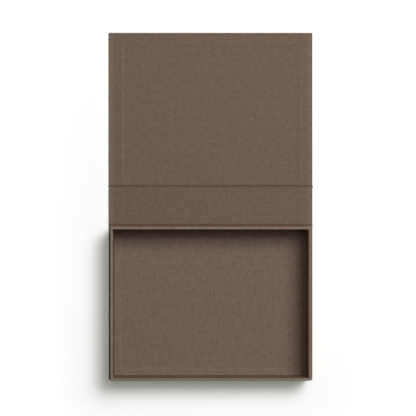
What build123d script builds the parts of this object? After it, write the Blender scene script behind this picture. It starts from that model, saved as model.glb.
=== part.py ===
"""A4 storage box made like a case-bound book: a cloth-covered tray on a case that opens out flat.

The case is three boards in a row, the base, the spine and the lid, wrapped in one book cloth and lined
with another. The cloth that bridges the two gaps between the boards is all the hinge there is. The tray
is glued on the base. X runs across the box, Y from the tray's front to the lid's far edge, Z up.
"""

import os

from build123d import *

# Driving dimensions, in millimetres
tray_width = 309.0  # over the cloth on its walls, which leaves room for A4 sheets inside
tray_depth = 236.5
rim_height = 55.4  # top of the tray's walls above the table
side_overhang = 5.5  # how far the case stands out past the tray's side walls
front_overhang = 4.0  # the same past its front wall
lid_groove = 6.3  # between the spine and the lid, where both are turned in
spine_above_fold = 2.0  # spine's far edge to the line that the lid folds on
spine_below_fold = 0.6  # spine's near edge to the line that the spine folds on

# Boards and sheets
case_board = 2.0
wall_board = 3.0
floor_board = 2.0
cloth = 0.4
lining = 0.3
stay_paper = 0.15

# How far each sheet reaches
turn_in = 22.0  # case cloth turned over the edges of its boards
turn_under = 15.0  # wall cloth under the tray
cloth_foot = 7.0  # wall cloth on the tray's floor
side_margin = 8.0  # case cloth left bare beside the lining
far_margin = 2.0  # the same at the lid's far edge
lining_tab = 20.0  # case lining nipped under the tray's back wall
stay_leg = 15.0
stay_inset = 3.0  # stay's ends to the wall's top and bottom
joint_bulge = 0.6  # how far the doubled cloth swells out at the ends of a groove

# Roundings of the wrapped edges
cloth_edge = 0.6
rim_edge = 0.7
lining_edge = cloth  # over a groove's edge, as wide as the step that the turned-in cloth makes there
board_corner = 0.8

# Clearances
fold_gap = 0.3  # closed case to the tray's back wall and rim
lining_gap = 0.3  # floor lining to the walls
mitre_gap = 0.3  # between the two turn-ins that meet at a corner

# Heights of the layers, from the table up
board_top = cloth + case_board
turned_top = board_top + cloth
case_top = turned_top + lining
groove_turned_top = 2 * cloth
walls_bottom = turned_top + cloth
floor_top = walls_bottom + floor_board
wall_board_top = rim_height - cloth
wall_board_height = wall_board_top - walls_bottom

# The two fold lines lie in the middle of the joint's cloth and lining
fold_z = (cloth + lining) / 2
fold_behind_tray = case_top - fold_z + fold_gap
fold_to_fold = rim_height + fold_gap + case_top - 2 * fold_z

# Depths that follow, so that the closed lid ends flush with the base
base_groove = fold_behind_tray + spine_below_fold
base_depth = tray_depth + front_overhang
spine_depth = fold_behind_tray + fold_to_fold - base_groove - spine_above_fold
lid_depth = base_depth + fold_behind_tray - (lid_groove - spine_above_fold)
open_depth = base_depth + base_groove + spine_depth + lid_groove + lid_depth

# Places along Y, with the origin under the middle of the open box
base_near_y = -open_depth / 2
tray_near_y = base_near_y + front_overhang
tray_far_y = tray_near_y + tray_depth
spine_near_y = tray_far_y + base_groove
spine_far_y = spine_near_y + spine_depth
lid_near_y = spine_far_y + lid_groove
lid_far_y = lid_near_y + lid_depth
spine_fold_y = tray_far_y + fold_behind_tray
lid_fold_y = spine_fold_y + fold_to_fold
tray_centre = (0, tray_near_y + tray_depth / 2)

# Widths across the case
case_width = tray_width + 2 * side_overhang
board_width = case_width - 2 * cloth
lining_width = case_width - 2 * side_margin
unturned_width = case_width - 2 * turn_in
pressed_width = unturned_width - 2 * lining

# At a groove the turned-in cloth and the lining run down over the board's edge
edge_wrap = cloth + lining

# Outlines of the tray, seen from above
wall_outer_width = tray_width - 2 * cloth
wall_outer_depth = tray_depth - 2 * cloth
wall_inner_width = wall_outer_width - 2 * wall_board
wall_inner_depth = wall_outer_depth - 2 * wall_board
inside_width = wall_inner_width - 2 * cloth
inside_depth = wall_inner_depth - 2 * cloth


def strip(width, near_y, far_y, mode=Mode.ADD):
    """A rectangle centred across the box, from near_y to far_y."""
    with Locations((0, (near_y + far_y) / 2)):
        Rectangle(width, far_y - near_y, mode=mode)


def tray_outline(width, depth, corner=0.0, mode=Mode.ADD):
    """A rectangle centred on the tray, with rounded corners if it has any."""
    with Locations(tray_centre):
        if corner:
            RectangleRounded(width, depth, corner, mode=mode)
        else:
            Rectangle(width, depth, mode=mode)


def edges_across(piece, y, z):
    """The piece's edges that run across the box at one depth and height."""
    same_place = 0.001
    return piece.edges().filter_by(Axis.X).filter_by(
        lambda edge: max(abs(edge.center().Y - y), abs(edge.center().Z - z)) < same_place
    )


def case_panel(near_y, far_y, near_turned, far_turned):
    """One greyboard of the case, set in from its cloth at a turned edge and from the wrap at a groove."""
    with BuildPart() as panel:
        with BuildSketch(Plane.XY.offset(cloth)):
            board_near_y = near_y + (cloth if near_turned else edge_wrap)
            board_far_y = far_y - (cloth if far_turned else edge_wrap)
            strip(board_width, board_near_y, board_far_y)
        extrude(amount=case_board)
    return panel


def case_cover(near_y, far_y, near_turned, far_turned):
    """The cloth round one case board: flat below, over its edges, and turned in on top."""
    cloth_near_y = near_y if near_turned else near_y + lining
    cloth_far_y = far_y if far_turned else far_y - lining
    open_ends = [y for y, turned in ((cloth_near_y, near_turned), (cloth_far_y, far_turned)) if not turned]
    with BuildPart() as cover:
        with BuildSketch():
            strip(case_width, cloth_near_y, cloth_far_y)
        extrude(amount=turned_top)
        wrapped = cover.faces().filter_by(Axis.Z).edges()
        for open_end in open_ends:
            wrapped = wrapped.filter_by(lambda edge: abs(edge.center().Y - open_end) > cloth)
        fillet(wrapped, cloth_edge)

        # The board's bed, then the window that the turn-ins leave open
        with BuildSketch(Plane.XY.offset(cloth)):
            bed_near_y = cloth_near_y + cloth
            bed_far_y = cloth_far_y - cloth
            strip(board_width, bed_near_y, bed_far_y)
        extrude(amount=case_board, mode=Mode.SUBTRACT)
        with BuildSketch(Plane.XY.offset(cloth)):
            window_near_y = cloth_near_y + turn_in if near_turned else cloth_near_y - turn_in
            window_far_y = cloth_far_y - turn_in if far_turned else cloth_far_y + turn_in
            strip(unturned_width, window_near_y, window_far_y)
        extrude(amount=turned_top - cloth, mode=Mode.SUBTRACT)

        # The mitres where two turn-ins meet
        mitred_ends = []
        if near_turned:
            mitred_ends.append((cloth_near_y, 1))
        if far_turned:
            mitred_ends.append((cloth_far_y, -1))
        for end_y, inward in mitred_ends:
            with BuildSketch(Plane.XY.offset(board_top)):
                for side in (-1, 1):
                    with Locations((side * (case_width - turn_in) / 2, end_y + inward * turn_in / 2)):
                        Rectangle(2 * turn_in, mitre_gap, rotation=-45 * side * inward)
            extrude(amount=cloth, mode=Mode.SUBTRACT)
    return cover


def case_lining(near_y, far_y, near_turned, far_turned):
    """The lining of a case board: pressed down inside the turn-ins and run over the edges at a groove."""
    sheet_near_y = near_y + far_margin if near_turned else near_y
    sheet_far_y = far_y - far_margin if far_turned else far_y
    with BuildPart() as sheet:
        with BuildSketch(Plane.XY.offset(groove_turned_top)):
            strip(lining_width, sheet_near_y, sheet_far_y)
        extrude(amount=case_top - groove_turned_top)

        # The middle, where no cloth is turned in under the sheet, lies lower by the cloth's thickness
        with BuildSketch(Plane.XY.offset(case_top)):
            pressed_near_y = near_y + turn_in + lining if near_turned else near_y - turn_in
            pressed_far_y = far_y - turn_in - lining if far_turned else far_y + turn_in
            strip(pressed_width, pressed_near_y, pressed_far_y)
        extrude(amount=-cloth, taper=45, mode=Mode.SUBTRACT)

        # At a groove the middle also stands back by the cloth's thickness, and reaches down to the cloth
        grooves = []
        if not near_turned:
            grooves.append((near_y, near_y + cloth, near_y + edge_wrap))
        if not far_turned:
            grooves.append((far_y, far_y - cloth, far_y - edge_wrap))
        for outer_y, pressed_y, board_y in grooves:
            with BuildSketch(Plane.XY.offset(groove_turned_top)):
                strip(pressed_width, *sorted((outer_y, pressed_y)))
            extrude(amount=case_top - groove_turned_top, mode=Mode.SUBTRACT)
            with BuildSketch(Plane.XY.offset(cloth)):
                strip(pressed_width, *sorted((pressed_y, board_y)))
            extrude(amount=cloth)
            fillet(edges_across(sheet, outer_y, case_top), lining_edge)
            fillet(edges_across(sheet, pressed_y, case_top - cloth), lining_edge)

        # What lies under the sheet: the board, and the turned-in cloth round it
        cloth_near_y = near_y if near_turned else near_y + lining
        cloth_far_y = far_y if far_turned else far_y - lining
        with BuildSketch(Plane.XY):
            strip(case_width, cloth_near_y + cloth, cloth_far_y - cloth)
        extrude(amount=board_top, mode=Mode.SUBTRACT)
        with BuildSketch(Plane.XY):
            strip(case_width, cloth_near_y, cloth_far_y)
            window_near_y = near_y + turn_in if near_turned else near_y - turn_in
            window_far_y = far_y - turn_in if far_turned else far_y + turn_in
            strip(unturned_width, window_near_y, window_far_y, mode=Mode.SUBTRACT)
        extrude(amount=turned_top, mode=Mode.SUBTRACT)
    return sheet


def joint_cover(near_y, far_y):
    """The cloth that bridges a groove: single in the middle, doubled and swollen at its two ends."""
    cloth_near_y = near_y - lining
    cloth_far_y = far_y + lining
    half_width = case_width / 2
    middle_y = (near_y + far_y) / 2
    with BuildPart() as bridge:
        with BuildSketch():
            with BuildLine():
                Line((-half_width, cloth_near_y), (half_width, cloth_near_y))
                ThreePointArc(
                    (half_width, cloth_near_y), (half_width + joint_bulge, middle_y), (half_width, cloth_far_y)
                )
                Line((half_width, cloth_far_y), (-half_width, cloth_far_y))
                ThreePointArc(
                    (-half_width, cloth_far_y), (-half_width - joint_bulge, middle_y), (-half_width, cloth_near_y)
                )
            make_face()
        extrude(amount=groove_turned_top)
        with BuildSketch(Plane.XY.offset(cloth)):
            strip(unturned_width, cloth_near_y, cloth_far_y)
        extrude(amount=cloth, mode=Mode.SUBTRACT)
    return bridge


def joint_sheet(near_y, far_y):
    """The lining in the bottom of a groove, lower in the middle like the lining beside it."""
    with BuildPart() as sheet:
        with BuildSketch(Plane.XY.offset(cloth)):
            strip(lining_width, near_y, far_y)
        extrude(amount=cloth + lining)
        with BuildSketch(Plane.XY.offset(cloth + lining)):
            strip(pressed_width, near_y, far_y)
        extrude(amount=cloth, mode=Mode.SUBTRACT)
        with BuildSketch(Plane.XY.offset(cloth)):
            strip(lining_width, near_y, far_y)
            strip(unturned_width, near_y, far_y, mode=Mode.SUBTRACT)
        extrude(amount=cloth, mode=Mode.SUBTRACT)
        with BuildSketch(Plane.XY.offset(cloth)):
            strip(pressed_width, near_y - cloth, far_y + cloth)
        extrude(amount=lining)
    return sheet


def wall(width, depth, centre):
    """One greyboard wall of the tray, standing beside the floor board."""
    with BuildPart() as board:
        with BuildSketch(Plane.XY.offset(walls_bottom)):
            with Locations(centre):
                Rectangle(width, depth)
        extrude(amount=wall_board_height)
    return board


# The base of the case, under the tray
base_board = case_panel(base_near_y, tray_far_y, near_turned=True, far_turned=False)
base_cover_cloth = case_cover(base_near_y, tray_far_y, near_turned=True, far_turned=False)

# The case lining ends in a tab on the base board, and its flange covers the board's edge in the groove
with BuildPart() as base_lining:
    with BuildSketch(Plane.YZ):
        with BuildLine():
            Polyline(
                (tray_far_y - cloth, cloth),
                (tray_far_y - cloth, board_top + lining),
                (tray_far_y - lining_tab, board_top + lining),
                (tray_far_y - lining_tab, board_top),
                (tray_far_y - edge_wrap, board_top),
                (tray_far_y - edge_wrap, cloth),
                close=True,
            )
        make_face()
    extrude(amount=pressed_width / 2, both=True)
    with BuildSketch(Plane.XY.offset(groove_turned_top)):
        strip(lining_width, tray_far_y - lining, tray_far_y)
        strip(pressed_width, tray_far_y - lining, tray_far_y, mode=Mode.SUBTRACT)
        strip(unturned_width, tray_far_y - edge_wrap, tray_far_y)
        strip(pressed_width, tray_far_y - edge_wrap, tray_far_y, mode=Mode.SUBTRACT)
    extrude(amount=turned_top - groove_turned_top)

base_joint_cloth = joint_cover(tray_far_y, spine_near_y)
base_joint_lining = joint_sheet(tray_far_y, spine_near_y)

# The spine
spine_board = case_panel(spine_near_y, spine_far_y, near_turned=False, far_turned=False)
spine_cover_cloth = case_cover(spine_near_y, spine_far_y, near_turned=False, far_turned=False)
spine_lining = case_lining(spine_near_y, spine_far_y, near_turned=False, far_turned=False)

lid_joint_cloth = joint_cover(spine_far_y, lid_near_y)
lid_joint_lining = joint_sheet(spine_far_y, lid_near_y)

# The lid
lid_board = case_panel(lid_near_y, lid_far_y, near_turned=False, far_turned=True)
lid_cover_cloth = case_cover(lid_near_y, lid_far_y, near_turned=False, far_turned=True)
lid_lining = case_lining(lid_near_y, lid_far_y, near_turned=False, far_turned=True)

# The tray's boards: the long walls run the full width, the short ones stand between them
with BuildPart() as tray_floor_board:
    with BuildSketch(Plane.XY.offset(walls_bottom)):
        tray_outline(wall_inner_width, wall_inner_depth)
    extrude(amount=floor_board)

long_wall_y = (wall_outer_depth - wall_board) / 2
short_wall_x = (wall_outer_width - wall_board) / 2
front_wall_board = wall(wall_outer_width, wall_board, (0, tray_centre[1] - long_wall_y))
back_wall_board = wall(wall_outer_width, wall_board, (0, tray_centre[1] + long_wall_y))
left_wall_board = wall(wall_board, wall_inner_depth, (-short_wall_x, tray_centre[1]))
right_wall_board = wall(wall_board, wall_inner_depth, (short_wall_x, tray_centre[1]))
with front_wall_board:
    fillet(front_wall_board.edges().filter_by(Axis.Z).group_by(Axis.Y)[0], board_corner)
with back_wall_board:
    fillet(back_wall_board.edges().filter_by(Axis.Z).group_by(Axis.Y)[-1], board_corner)

# Paper stays are taped round the outer corners before the cloth goes on
corner_stays = {}
for end, toward_y in (("front", -1), ("back", 1)):
    for side, toward_x in (("left", -1), ("right", 1)):
        with BuildPart() as stay:
            with BuildSketch(Plane.XY.offset(walls_bottom + stay_inset)):
                tray_outline(
                    wall_outer_width + 2 * stay_paper, wall_outer_depth + 2 * stay_paper, board_corner + stay_paper
                )
                tray_outline(wall_outer_width, wall_outer_depth, board_corner, mode=Mode.SUBTRACT)
                corner_x = toward_x * wall_outer_width / 2
                corner_y = tray_centre[1] + toward_y * wall_outer_depth / 2
                with Locations((corner_x, corner_y)):
                    Rectangle(2 * stay_leg, 2 * stay_leg, mode=Mode.INTERSECT)
            extrude(amount=wall_board_height - 2 * stay_inset)
        corner_stays[f"{end}_{side}_corner_stay"] = stay

# One cloth covers the walls: up the outside, over the rim, down the inside and onto the floor board
with BuildPart() as tray_wall_cloth:
    with BuildSketch(Plane.XY.offset(turned_top)):
        tray_outline(tray_width, tray_depth, board_corner + cloth)
    extrude(amount=rim_height - turned_top)
    with BuildSketch(Plane.XY.offset(floor_top + cloth)):
        tray_outline(inside_width, inside_depth)
    extrude(amount=rim_height - floor_top - cloth, mode=Mode.SUBTRACT)
    fillet(tray_wall_cloth.faces().sort_by(Axis.Z)[-1].edges(), rim_edge)

    # Room for the boards
    with BuildSketch(Plane.XY.offset(walls_bottom)):
        tray_outline(wall_outer_width, wall_outer_depth, board_corner)
    extrude(amount=floor_board, mode=Mode.SUBTRACT)
    with BuildSketch(Plane.XY.offset(floor_top)):
        tray_outline(wall_outer_width, wall_outer_depth, board_corner)
        tray_outline(wall_inner_width, wall_inner_depth, mode=Mode.SUBTRACT)
    extrude(amount=wall_board_top - floor_top, mode=Mode.SUBTRACT)
    for stay in corner_stays.values():
        add(stay.part, mode=Mode.SUBTRACT)

    # The windows that the foot on the floor and the turn under the tray leave open
    with BuildSketch(Plane.XY.offset(floor_top)):
        tray_outline(inside_width - 2 * cloth_foot, inside_depth - 2 * cloth_foot)
    extrude(amount=cloth, mode=Mode.SUBTRACT)
    with BuildSketch(Plane.XY.offset(turned_top)):
        tray_outline(tray_width - 2 * turn_under, tray_depth - 2 * turn_under)
    extrude(amount=cloth, mode=Mode.SUBTRACT)

# The floor lining covers the cloth's foot and is pressed down inside it
with BuildPart() as tray_floor_lining:
    with BuildSketch(Plane.XY.offset(floor_top)):
        tray_outline(inside_width - 2 * lining_gap, inside_depth - 2 * lining_gap)
    extrude(amount=cloth + lining)
    pressed_inset = 2 * (cloth_foot + lining)
    with BuildSketch(Plane.XY.offset(floor_top + cloth + lining)):
        tray_outline(inside_width - pressed_inset, inside_depth - pressed_inset)
    extrude(amount=-cloth, taper=45, mode=Mode.SUBTRACT)
    with BuildSketch(Plane.XY.offset(floor_top)):
        tray_outline(inside_width, inside_depth)
        tray_outline(inside_width - 2 * cloth_foot, inside_depth - 2 * cloth_foot, mode=Mode.SUBTRACT)
    extrude(amount=cloth, mode=Mode.SUBTRACT)

pieces = {
    "base_board": base_board,
    "base_cover_cloth": base_cover_cloth,
    "base_lining": base_lining,
    "base_joint_cloth": base_joint_cloth,
    "base_joint_lining": base_joint_lining,
    "spine_board": spine_board,
    "spine_cover_cloth": spine_cover_cloth,
    "spine_lining": spine_lining,
    "lid_joint_cloth": lid_joint_cloth,
    "lid_joint_lining": lid_joint_lining,
    "lid_board": lid_board,
    "lid_cover_cloth": lid_cover_cloth,
    "lid_lining": lid_lining,
    "tray_floor_board": tray_floor_board,
    "front_wall_board": front_wall_board,
    "back_wall_board": back_wall_board,
    "left_wall_board": left_wall_board,
    "right_wall_board": right_wall_board,
    "tray_wall_cloth": tray_wall_cloth,
    "tray_floor_lining": tray_floor_lining,
    **corner_stays,
}

os.makedirs("parts", exist_ok=True)
for name, piece in pieces.items():
    piece.part.label = name
    export_step(piece.part, f"parts/{name}.step")
    print(f"{name}: {piece.part.volume:.0f} mm3, {len(piece.part.solids())} solid")
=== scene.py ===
# %% [markdown]
# A storage box that is made like a book: a cloth-covered tray, a spine and a lid in one row, opened out
# flat. The CAD model gives every board and sheet its place. This script dresses that model: it loads it
# as a fixed frame, makes the cloth as finer meshes in the same places, and adds materials, lamps and a
# camera. All lengths below are in millimetres until a mesh is made, because the real box is cut in them.

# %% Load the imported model
import math

import bmesh
import bpy
import numpy as np
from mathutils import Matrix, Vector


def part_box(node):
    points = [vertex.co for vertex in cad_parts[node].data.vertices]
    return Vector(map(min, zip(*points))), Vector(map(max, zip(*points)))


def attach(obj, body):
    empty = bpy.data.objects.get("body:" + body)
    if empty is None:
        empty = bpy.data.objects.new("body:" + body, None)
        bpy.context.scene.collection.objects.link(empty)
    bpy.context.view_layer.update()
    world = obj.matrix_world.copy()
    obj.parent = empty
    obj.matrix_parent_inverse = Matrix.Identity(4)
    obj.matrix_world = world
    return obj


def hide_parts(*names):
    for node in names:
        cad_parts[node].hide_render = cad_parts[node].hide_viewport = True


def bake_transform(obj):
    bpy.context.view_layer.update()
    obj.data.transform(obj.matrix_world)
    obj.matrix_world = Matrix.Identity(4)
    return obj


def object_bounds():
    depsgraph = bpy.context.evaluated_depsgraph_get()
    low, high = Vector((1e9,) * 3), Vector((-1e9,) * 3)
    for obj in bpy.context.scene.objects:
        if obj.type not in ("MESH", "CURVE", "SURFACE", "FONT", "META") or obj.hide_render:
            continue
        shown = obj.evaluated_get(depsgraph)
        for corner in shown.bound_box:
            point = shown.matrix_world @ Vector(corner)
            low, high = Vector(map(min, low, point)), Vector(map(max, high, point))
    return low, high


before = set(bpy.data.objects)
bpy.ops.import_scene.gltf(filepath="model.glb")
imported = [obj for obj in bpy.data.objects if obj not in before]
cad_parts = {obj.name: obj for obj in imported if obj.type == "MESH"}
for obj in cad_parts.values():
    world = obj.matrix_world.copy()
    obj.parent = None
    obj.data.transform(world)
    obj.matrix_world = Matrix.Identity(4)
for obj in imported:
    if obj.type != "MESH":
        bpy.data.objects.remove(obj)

cad_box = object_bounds()
MM = 0.001

# %% [markdown]
# The camera comes first, since everything is judged through it. The picture was taken straight down
# from about two and a half metres, so the walls of the tray hardly lean. The lens follows from the width
# of table that the square picture shows: 654 mm across a sensor of 36 mm.

# %% Set up the camera
CAMERA_HEIGHT = 2.53
CAMERA_PLACE = (-0.0041, -0.00284)
TABLE_SHOWN = 0.6544


def placed(name, data):
    """A new object in the scene that carries this data."""
    made = bpy.data.objects.new(name, data)
    bpy.context.scene.collection.objects.link(made)
    return made


lens_view = bpy.data.cameras.new("straight down")
lens_view.sensor_width = 36.0
lens_view.lens = lens_view.sensor_width * CAMERA_HEIGHT / TABLE_SHOWN
camera = placed("camera", lens_view)
camera.location = (*CAMERA_PLACE, CAMERA_HEIGHT)
bpy.context.scene.camera = camera
bpy.context.scene.view_settings.view_transform = "Standard"
print(f"lens {lens_view.lens:.1f} mm")

# %% [markdown]
# The sizes that the cloth needs are read from the CAD nodes themselves, so the meshes stay on the boards
# if a size changes. Depth runs along Y, from the tray to the lid.

# %% Read the sizes of the case and the tray
def span(node):
    """The lowest and highest corner of a CAD node, in millimetres."""
    low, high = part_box(node)
    return np.array(low) / MM, np.array(high) / MM


CLOTH = 0.4
LINING = 0.3

HALF_CASE = span("lid_cover_cloth")[1][0]
TURNED_TOP = span("lid_cover_cloth")[1][2]
CASE_TOP = TURNED_TOP + LINING
BOARD_TOP = TURNED_TOP - CLOTH
TURN_IN = 22.0
PRESSED_HALF = HALF_CASE - TURN_IN
HALF_LINING = span("lid_lining")[1][0]

LID_FACE = span("lid_cover_cloth")[0][1]
LID_END = span("lid_cover_cloth")[1][1]
SPINE_NEAR = span("spine_cover_cloth")[0][1]
SPINE_FAR = span("spine_cover_cloth")[1][1]
BASE_END = span("base_cover_cloth")[0][1]
print(f"case {2 * HALF_CASE:.0f} mm wide, lid from {LID_FACE:.1f} to {LID_END:.1f}")

# %% [markdown]
# Each sheet is built as a net of points: rows along the sheet, columns across it, once for its face and
# once for its back, a cloth's thickness apart. Stitched together at the borders, the two nets are one
# closed skin. A net also knows where each point lay on the flat cloth before it was folded. Kept as a UV
# map in metres, that lets the weave run round the edges as woven cloth does.

# %% A closed mesh from two nets of points
# Faces that meet at more than this show an edge
SHARP_ANGLE = math.radians(50)


def eased(value):
    """0 below 0, 1 above 1, and a soft S between them."""
    value = np.clip(value, 0.0, 1.0)
    return value * value * (3.0 - 2.0 * value)


def fading_in(value, start, width):
    """0 before start, 1 once past it by the width, and a soft S between them."""
    return eased((value - start) / width)


def bell(value, centre, breadth):
    """1 at the centre, fading out to both sides."""
    return np.exp(-(((value - centre) / breadth) ** 2))


def cloth_mesh(name, face, back, threads, wear_and_highlight=0.0, round_trip=0.0, plate=False):
    """One closed skin from a sheet's face and back. A plate closes its last column with flat cloth, and a
    round trip is the length after which the sheet's rows meet again."""
    rows, columns = face.shape[:2]
    count = rows * columns
    points = np.concatenate([face.reshape(-1, 3), back.reshape(-1, 3)]) * MM
    number = np.arange(count).reshape(rows, columns)
    around = np.vstack([number, number[:1]]) if round_trip else number
    corners = (around[:-1, :-1], around[:-1, 1:], around[1:, 1:], around[1:, :-1])
    quads = np.stack(corners, axis=-1).reshape(-1, 4)
    faces = quads.tolist() + (quads[:, ::-1] + count).tolist()

    borders = [around[:, 0]]
    if plate:
        last = number[:, -1].tolist()
        faces += [last, [n + count for n in reversed(last)]]
        borders.append(np.array([last[-1], last[0]]))
    else:
        borders.append(around[::-1, -1])
    if not round_trip:
        borders += [number[0, ::-1], number[-1]]
    for border in borders:
        start, end = border[:-1], border[1:]
        faces += np.stack([end, start, start + count, end + count], axis=-1).tolist()

    mesh = bpy.data.meshes.new(name)
    mesh.from_pydata(points.tolist(), [], faces)
    shaped = bmesh.new()
    shaped.from_mesh(mesh)
    bmesh.ops.recalc_face_normals(shaped, faces=shaped.faces)
    shaped.to_mesh(mesh)
    shaped.free()

    flat = np.concatenate([threads.reshape(-1, 2)] * 2) * MM
    corner_points = np.empty(len(mesh.loops), dtype=int)
    mesh.loops.foreach_get("vertex_index", corner_points)
    laid = flat[corner_points]
    if round_trip:
        # Where the rows meet again, the weave runs on and does not jump back to its start
        by_quad = laid[:, 0].reshape(-1, 4)
        meeting = np.ptp(by_quad, axis=1) > round_trip * MM / 2
        by_quad[meeting] += np.where(by_quad[meeting] < round_trip * MM / 2, round_trip * MM, 0.0)
        laid[:, 0] = by_quad.ravel()
    mesh.uv_layers.new(name="threads").data.foreach_set("uv", laid.ravel())
    # How far each point is painted paler: at worn edges, and where a highlight is painted
    wear_and_highlight_paling = np.broadcast_to(wear_and_highlight, (rows, columns))
    mesh.attributes.new("wear_and_highlight", "FLOAT", "POINT").data.foreach_set("value", np.tile(wear_and_highlight_paling.ravel(), 2))

    mesh.shade_smooth()
    mesh.set_sharp_from_angle(angle=SHARP_ANGLE)
    print(f"{name}: {len(mesh.polygons)} faces, closed: {all_closed(mesh)}")
    return placed(name, mesh)


def all_closed(mesh):
    """Whether every edge of a mesh has a face on both sides."""
    uses = {}
    for polygon in mesh.polygons:
        for key in polygon.edge_keys:
            uses[key] = uses.get(key, 0) + 1
    return set(uses.values()) == {2}


# %% [markdown]
# Cloth never turns a sharp corner. Over a board's edge it rounds by its own thickness, and in the bottom
# of a groove it rounds the other way. Every fold is therefore drawn as a line of straight runs with an
# arc at each corner, and its back is the same line moved inwards by the thickness.

# %% Folded lines
BENDS = 6

# The waves in a hand-cut edge, from long to short
WAVE_LENGTHS = (173.0, 61.0, 23.0)


def folded_line(corners, radii, runs):
    """Points along straight runs with an arc at each inner corner; runs says how each run is divided."""
    corners = np.array(corners, dtype=float)
    points = []
    start = corners[0]
    for i in range(1, len(corners)):
        ahead = corners[i] - corners[i - 1]
        ahead /= np.linalg.norm(ahead)
        if i < len(corners) - 1:
            onward = corners[i + 1] - corners[i]
            onward /= np.linalg.norm(onward)
            turn = math.acos(np.clip(ahead @ onward, -1, 1))
            cut = radii[i - 1] * math.tan(turn / 2)
            arc_start, arc_end = corners[i] - ahead * cut, corners[i] + onward * cut
        else:
            arc_start = corners[i]
        shares = np.asarray(runs[i - 1])
        points += [start + (arc_start - start) * share for share in shares]
        if i == len(corners) - 1:
            break
        side = np.array([-ahead[1], ahead[0]])
        side *= math.copysign(1, side @ onward)
        centre = arc_start + side * radii[i - 1]
        for step in range(1, BENDS):
            angle = turn * step / BENDS
            points.append(centre + radii[i - 1] * (ahead * math.sin(angle) - side * math.cos(angle)))
        start = arc_end
    return np.array(points)


def outward(line):
    """A unit vector at each point of a line, to the left of the way that it runs."""
    ahead = np.gradient(line, axis=0)
    ahead /= np.linalg.norm(ahead, axis=1, keepdims=True)
    return np.stack([-ahead[:, 1], ahead[:, 0]], axis=1)


def distances(line):
    """How far along a line each of its points lies."""
    return np.concatenate([[0.0], np.cumsum(np.linalg.norm(np.diff(line, axis=0), axis=1))])


def even(count):
    """Shares from 0 to 1, both ends included."""
    return np.linspace(0.0, 1.0, count)


def wander(along, seed, size):
    """A slow, slight unevenness, as a hand-cut edge has."""
    total = 0.0
    for step, length in enumerate(WAVE_LENGTHS):
        total = total + np.sin(2 * math.pi * along / length + seed * (step + 1.7)) / (step + 1.5)
    return size * total


print("one fold has", BENDS, "facets")

# %% [markdown]
# A case panel meets its groove the same way each time: the sheet lies flat on its board, rounds the
# board's edge and runs down to the bottom of the groove. It is rubbed in with a bone folder, which leaves
# a soft slope and no sharp step: long beside the lid, where the groove is wide, and short under the
# tray. All the layers keep the same slope and differ only in their level.

# %% The slopes of the grooves
GROOVE_DEPTH = TURNED_TOP - 2 * CLOTH
BASE_CUT = -31.6
SPINE_NEAR_CUT = -28.8
SPINE_FAR_CUT = 27.4
LID_CUT = 33.0

# Each slope goes from its foot in the groove to where the sheet lies flat on the board
BASE_SLOPE = (-31.65, -32.5)
SPINE_NEAR_SLOPE = (-31.0, -27.4)
SPINE_FAR_SLOPE = (28.4, 25.8)
LID_SLOPE = (29.9, 33.8)
SLOPE_POINTS = 12


def climb(cut, slope, level, end, shares):
    """The line of a sheet from the cut in its groove, up the slope and on, flat, to its end."""
    foot, top = slope
    beyond = top + (end - top) * np.asarray(shares)[1:]
    depths = np.concatenate([np.linspace(cut, top, SLOPE_POINTS), beyond])
    return np.column_stack([depths, level - GROOVE_DEPTH * (1 - eased((depths - foot) / (top - foot)))])


print(f"grooves {GROOVE_DEPTH:.1f} mm deep, cut at", BASE_CUT, SPINE_NEAR_CUT, SPINE_FAR_CUT, LID_CUT)

# %% [markdown]
# Linings. The lining is glued down after the cloth has been turned in, so it lies one layer lower inside
# the turn-ins than over them, and their edge shows through as a fine line. At the sides, the cut edge of
# the stiff cloth curls up a little and lifts the lining before the drop. A plain sheet would lose just
# what makes a covered board look covered. The net is therefore denser along those lines.

# %% Nets for the linings
LINING_STEP = 6.0

# The lining comes down a little inside the edge of the turned-in cloth
RIDGE_SHIFT = 0.5
RIDGE_HALF = PRESSED_HALF - RIDGE_SHIFT
RIDGE_WIDTH = 3.4
LID_CURL = 0.65
SPINE_CURL = 0.2
CURL_REACH = 9.0
CURL_FADE = 12.0

# A ridge's painted highlight lies just outside its middle
HIGHLIGHT_CENTRE = 0.3
HIGHLIGHT_BREADTH = 1.2


def dense(start, end, step, places, reach=3.2, fine=0.32):
    """Values from start to end about a step apart, and much closer together near some places."""
    values = list(np.linspace(start, end, max(2, round(abs(end - start) / step) + 1)))
    for place in places:
        near = np.arange(place - reach, place + reach + fine / 2, fine)
        values = [v for v in values if abs(v - place) > reach + fine or v in (start, end)]
        values += [v for v in near if start < v < end]
    return np.array(sorted(values))


def pressed(outside, curl=0.0):
    """How far a lining lies below its level over the turn-ins, by its distance outside their edge."""
    dropped = eased(0.5 - outside / RIDGE_WIDTH)
    return CLOTH * dropped - curl * eased(1 - outside / CURL_REACH) * (1 - dropped)


def lining_net(line, across, outside, curl, extra=0.0):
    """Face, back and flat places of a lining that follows a line, pressed down inside the turn-ins."""
    height = line[:, 1:] - pressed(outside, curl) + extra
    depth = np.broadcast_to(line[:, :1], height.shape)
    sideways = np.broadcast_to(across[None, :], height.shape)
    lean = np.broadcast_to(outward(line)[:, None], (*height.shape, 2))
    face = np.stack([sideways, depth, height], axis=-1)
    back = face - LINING * np.concatenate([0 * lean[..., :1], lean], axis=-1)
    along = np.broadcast_to((line[0, 0] + distances(line))[:, None], height.shape)
    threads = np.stack([sideways, along], axis=-1)
    return face, back, threads


def ridge_highlight(outside, most):
    """A ridge is painted paler just outside its middle: a painted highlight."""
    return most * bell(outside, HIGHLIGHT_CENTRE, HIGHLIGHT_BREADTH)


across = dense(-HALF_LINING, HALF_LINING, LINING_STEP, [-RIDGE_HALF, RIDGE_HALF])
print(len(across), "points across a lining")

# %% The lid's lining
LINING_END = span("lid_lining")[1][1]
LID_RIDGE = LID_END - TURN_IN + RIDGE_SHIFT
LID_WANDER = 0.3

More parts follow.
